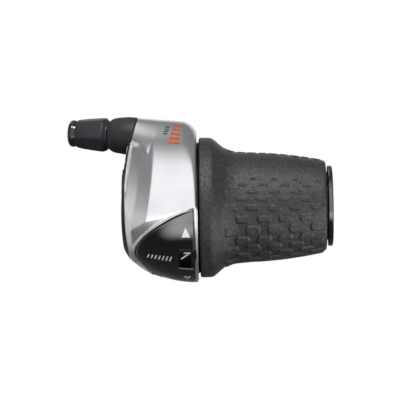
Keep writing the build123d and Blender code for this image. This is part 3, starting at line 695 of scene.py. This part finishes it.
flange_side = [(12.02, 75), (12.02, 76.9), (12.3, 77.2), (14.4, 77.2), (14.9, 76.9), (14.9, 75.6),
               (14.5, 75.25), (12.6, 75.25), (12.6, 75)]
flange = turned("tube_end_flange", flange_side, gloss_black, radius=0.25, around=200)
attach(flange, "housing")
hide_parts("end_flange")

# ---------------------------------------------------------------- cable adjuster

ahead = np.array([-0.959365, 0.275093, 0.062791])
ahead /= np.linalg.norm(ahead)
side = np.cross(ahead, [0, -1.0, 0])
side /= np.linalg.norm(side)
adjuster_axis = (np.array([3.9, -2.0, 26.7]), ahead, side)


def against_wall(points):
    """Keeps the socket's buried end just inside the housing's curved left wall."""
    arc, middle = 130.0, -4
    wall = arc - np.sqrt(arc**2 - (points[:, 2] - middle) ** 2)
    points[:, 0] = np.minimum(points[:, 0], wall + 0.12)
    return points


socket_side = [(4.0, 3.0), (4.0, 8.2), (4.95, 8.35), (5.6, 7.9), (6.15, 7.0), (6.45, 5.9), (6.65, 4.4),
               (6.85, 2.6), (6.95, 0.8), (6.9, -1.0), (6.8, -2.6), (5.1, -2.6), (5.1, 3.0)]
socket = turned("adjuster_boot", socket_side, black_nylon, adjuster_axis, 0.45, place=against_wall)
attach(socket, "housing")
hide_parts("adjuster_socket")


def six_flats(r, t, turn):
    """Radius of the knob round its axis: six flats with scalloped ends, softened at their corners."""
    bore_r, flats_from = 4.6, 9.6
    if r < bore_r or t < flats_from:
        return np.full(len(turn), r)
    flat = 5.94 + (5.06 - 5.94) * (t - 10.7) / 10.0
    sixth = (turn + math.radians(72) + math.pi / 6) % (math.pi / 3) - math.pi / 6
    reach = flat / np.cos(sixth)
    return (r + reach - np.sqrt((r - reach) ** 2 + 0.12**2)) / 2


knob_side = [(3.0, 6.2), (3.7, 6.2), (3.7, 8.5), (4.85, 8.5), (5.0, 8.95), (5.35, 9.25), (5.82, 9.8),
             (6.32, 10.35), (6.42, 10.7), (6.40, 11.4), (6.35, 12.4), (6.25, 13.6), (6.12, 14.8),
             (5.98, 16.0), (5.80, 17.3), (5.60, 18.6), (5.38, 19.7), (5.15, 20.7), (3.5, 20.7),
             (3.5, 13.95), (3.0, 13.95)]
knob = turned("adjuster_grip_knob", knob_side, knob_nylon, adjuster_axis, 0.16, around=288,
              shape=six_flats, sharp=50)
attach(knob, "adjuster")
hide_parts("adjuster_knob")

collar_side = [(1.1, 15), (1.1, 14), (3.4, 14), (3.4, 20.8), (4.5, 20.8), (4.6, 21.5), (4.9, 22),
               (4.9, 23.1), (4.5, 23.6), (2.9, 23.6), (2.6, 23.3), (2.6, 15)]
collar = turned("casing_collar", collar_side, collar_gloss, adjuster_axis, 0.22)
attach(collar, "casing_stop")
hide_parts("casing_ferrule")

# ---------------------------------------------------------------- studio

FLOOR_HALF, FLOOR_Z = 0.7, -0.12
floor_mesh = bpy.data.meshes.new("floor")
corners = [(x * FLOOR_HALF, y * FLOOR_HALF, FLOOR_Z) for x, y in ((-1, -1), (1, -1), (1, 1), (-1, 1))]
floor_mesh.from_pydata(corners, [], [(0, 1, 2, 3)])
floor = bpy.data.objects.new("floor", floor_mesh)
floor_mesh.materials.append(pale_floor)
scene.collection.objects.link(floor)
floor.visible_glossy = False

world = bpy.data.worlds.new("studio")
scene.world = world
world.use_nodes = True
sky = world.node_tree
sky.nodes.clear()
direction = add(sky, "ShaderNodeSeparateXYZ", {0: add(sky, "ShaderNodeTexCoord").outputs["Generated"]})
toward = add(sky, "ShaderNodeMath", {0: direction.outputs[1], 1: -1.0}, operation="MULTIPLY")
heading = add(sky, "ShaderNodeMath", {0: direction.outputs[0], 1: toward.outputs[0]},
              operation="ARCTAN2").outputs[0]
rise = add(sky, "ShaderNodeMath", {0: direction.outputs[2]}, operation="ARCSINE").outputs[0]
# Softboxes: headings from the front, heights and soft edges in degrees, and brightness
softboxes = [
    # left, right, soft sides, low, high, soft foot, soft top, brightness
    (-31, 42, 14, -38, 66, 20, 45, 1.18),
    (-31, 44, 16, -37, -18, 18, 14, 1.20),
    (-140, -42, 18, -30, 6, 26, 26, 0.62),
    (-130, -68, 14, 0, 16, 16, 16, 0.60),
    (-178, -112, 20, 48, 84, 14, 12, 0.85),
    (48, 95, 16, -50, -8, 16, 16, 1.20),
    (160, 200, 16, -12, 26, 14, 14, 0.80),
    (-200, -160, 16, -12, 26, 14, 14, 0.80),
]
# The room itself: dark below, dim from just above the horizon up
total = add(sky, "ShaderNodeMapRange", {0: rise, 1: math.radians(-45), 2: math.radians(10),
                                        3: 0.07, 4: 0.20}).outputs[0]
for left, right, sides, low, high, foot, head, bright in softboxes:
    shares = []
    for source, middle, soft in ((heading, left, sides), (heading, right, -sides),
                                 (rise, low, foot), (rise, high, -head)):
        shares.append(add(sky, "ShaderNodeMapRange", {0: source, 1: math.radians(middle - soft / 2),
                                                      2: math.radians(middle + soft / 2)},
                          interpolation_type="SMOOTHSTEP").outputs[0])
    glow = shares[0]
    for share in shares[1:]:
        glow = add(sky, "ShaderNodeMath", {0: glow, 1: share}, operation="MULTIPLY").outputs[0]
    glow = add(sky, "ShaderNodeMath", {0: glow, 1: bright}, operation="MULTIPLY").outputs[0]
    total = add(sky, "ShaderNodeMath", {0: total, 1: glow}, operation="ADD").outputs[0]
# The backdrop behind the object is plain white
seen = add(sky, "ShaderNodeLightPath").outputs["Is Camera Ray"]
shown = add(sky, "ShaderNodeMix", {0: seen, 2: total, 3: 1.0}, data_type="FLOAT")
back = add(sky, "ShaderNodeBackground", {"Color": (1, 1, 1, 1), "Strength": shown.outputs[0]})
add(sky, "ShaderNodeOutputWorld", {"Surface": back.outputs[0]})
scene.view_settings.view_transform = "Standard"

dark_parts = bpy.data.collections.new("dark_parts")
for part in (grip, socket, knob, collar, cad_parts["base_housing"]):
    dark_parts.objects.link(part)
# Strip lights that reach only the dark parts: position, width, height, power
for name, place, wide, tall, power in (("upper_strip", (0.03, -0.45, 0.70), 0.5, 0.16, 10.0),
                                       ("lower_strip", (0.17, -0.07, -0.095), 0.10, 0.08, 0.30)):
    lamp = bpy.data.lights.new(name, "AREA")
    lamp.shape, lamp.size, lamp.size_y, lamp.energy = "RECTANGLE", wide, tall, power
    strip = bpy.data.objects.new(name, lamp)
    scene.collection.objects.link(strip)
    strip.location = place
    strip.rotation_euler = (Vector((0.035, 0, 0)) - strip.location).to_track_quat("-Z", "Y").to_euler()
    strip.visible_camera = False
    strip.light_linking.receiver_collection = dark_parts

ROLL = -0.93
lens = bpy.data.cameras.new("camera")
lens.lens, lens.sensor_width, lens.clip_start, lens.clip_end = 281.25, 36.0, 0.01, 20.0
camera = bpy.data.objects.new("camera", lens)
scene.collection.objects.link(camera)
eye, target = Vector((0.040, -1.15, 0.003)), Vector((0.0285, 0.0, 0.0028))
camera.matrix_world = (Matrix.Translation(eye) @ (target - eye).to_track_quat("-Z", "Y").to_matrix().to_4x4()
                       @ Matrix.Rotation(math.radians(ROLL), 4, "Z"))
scene.camera = camera
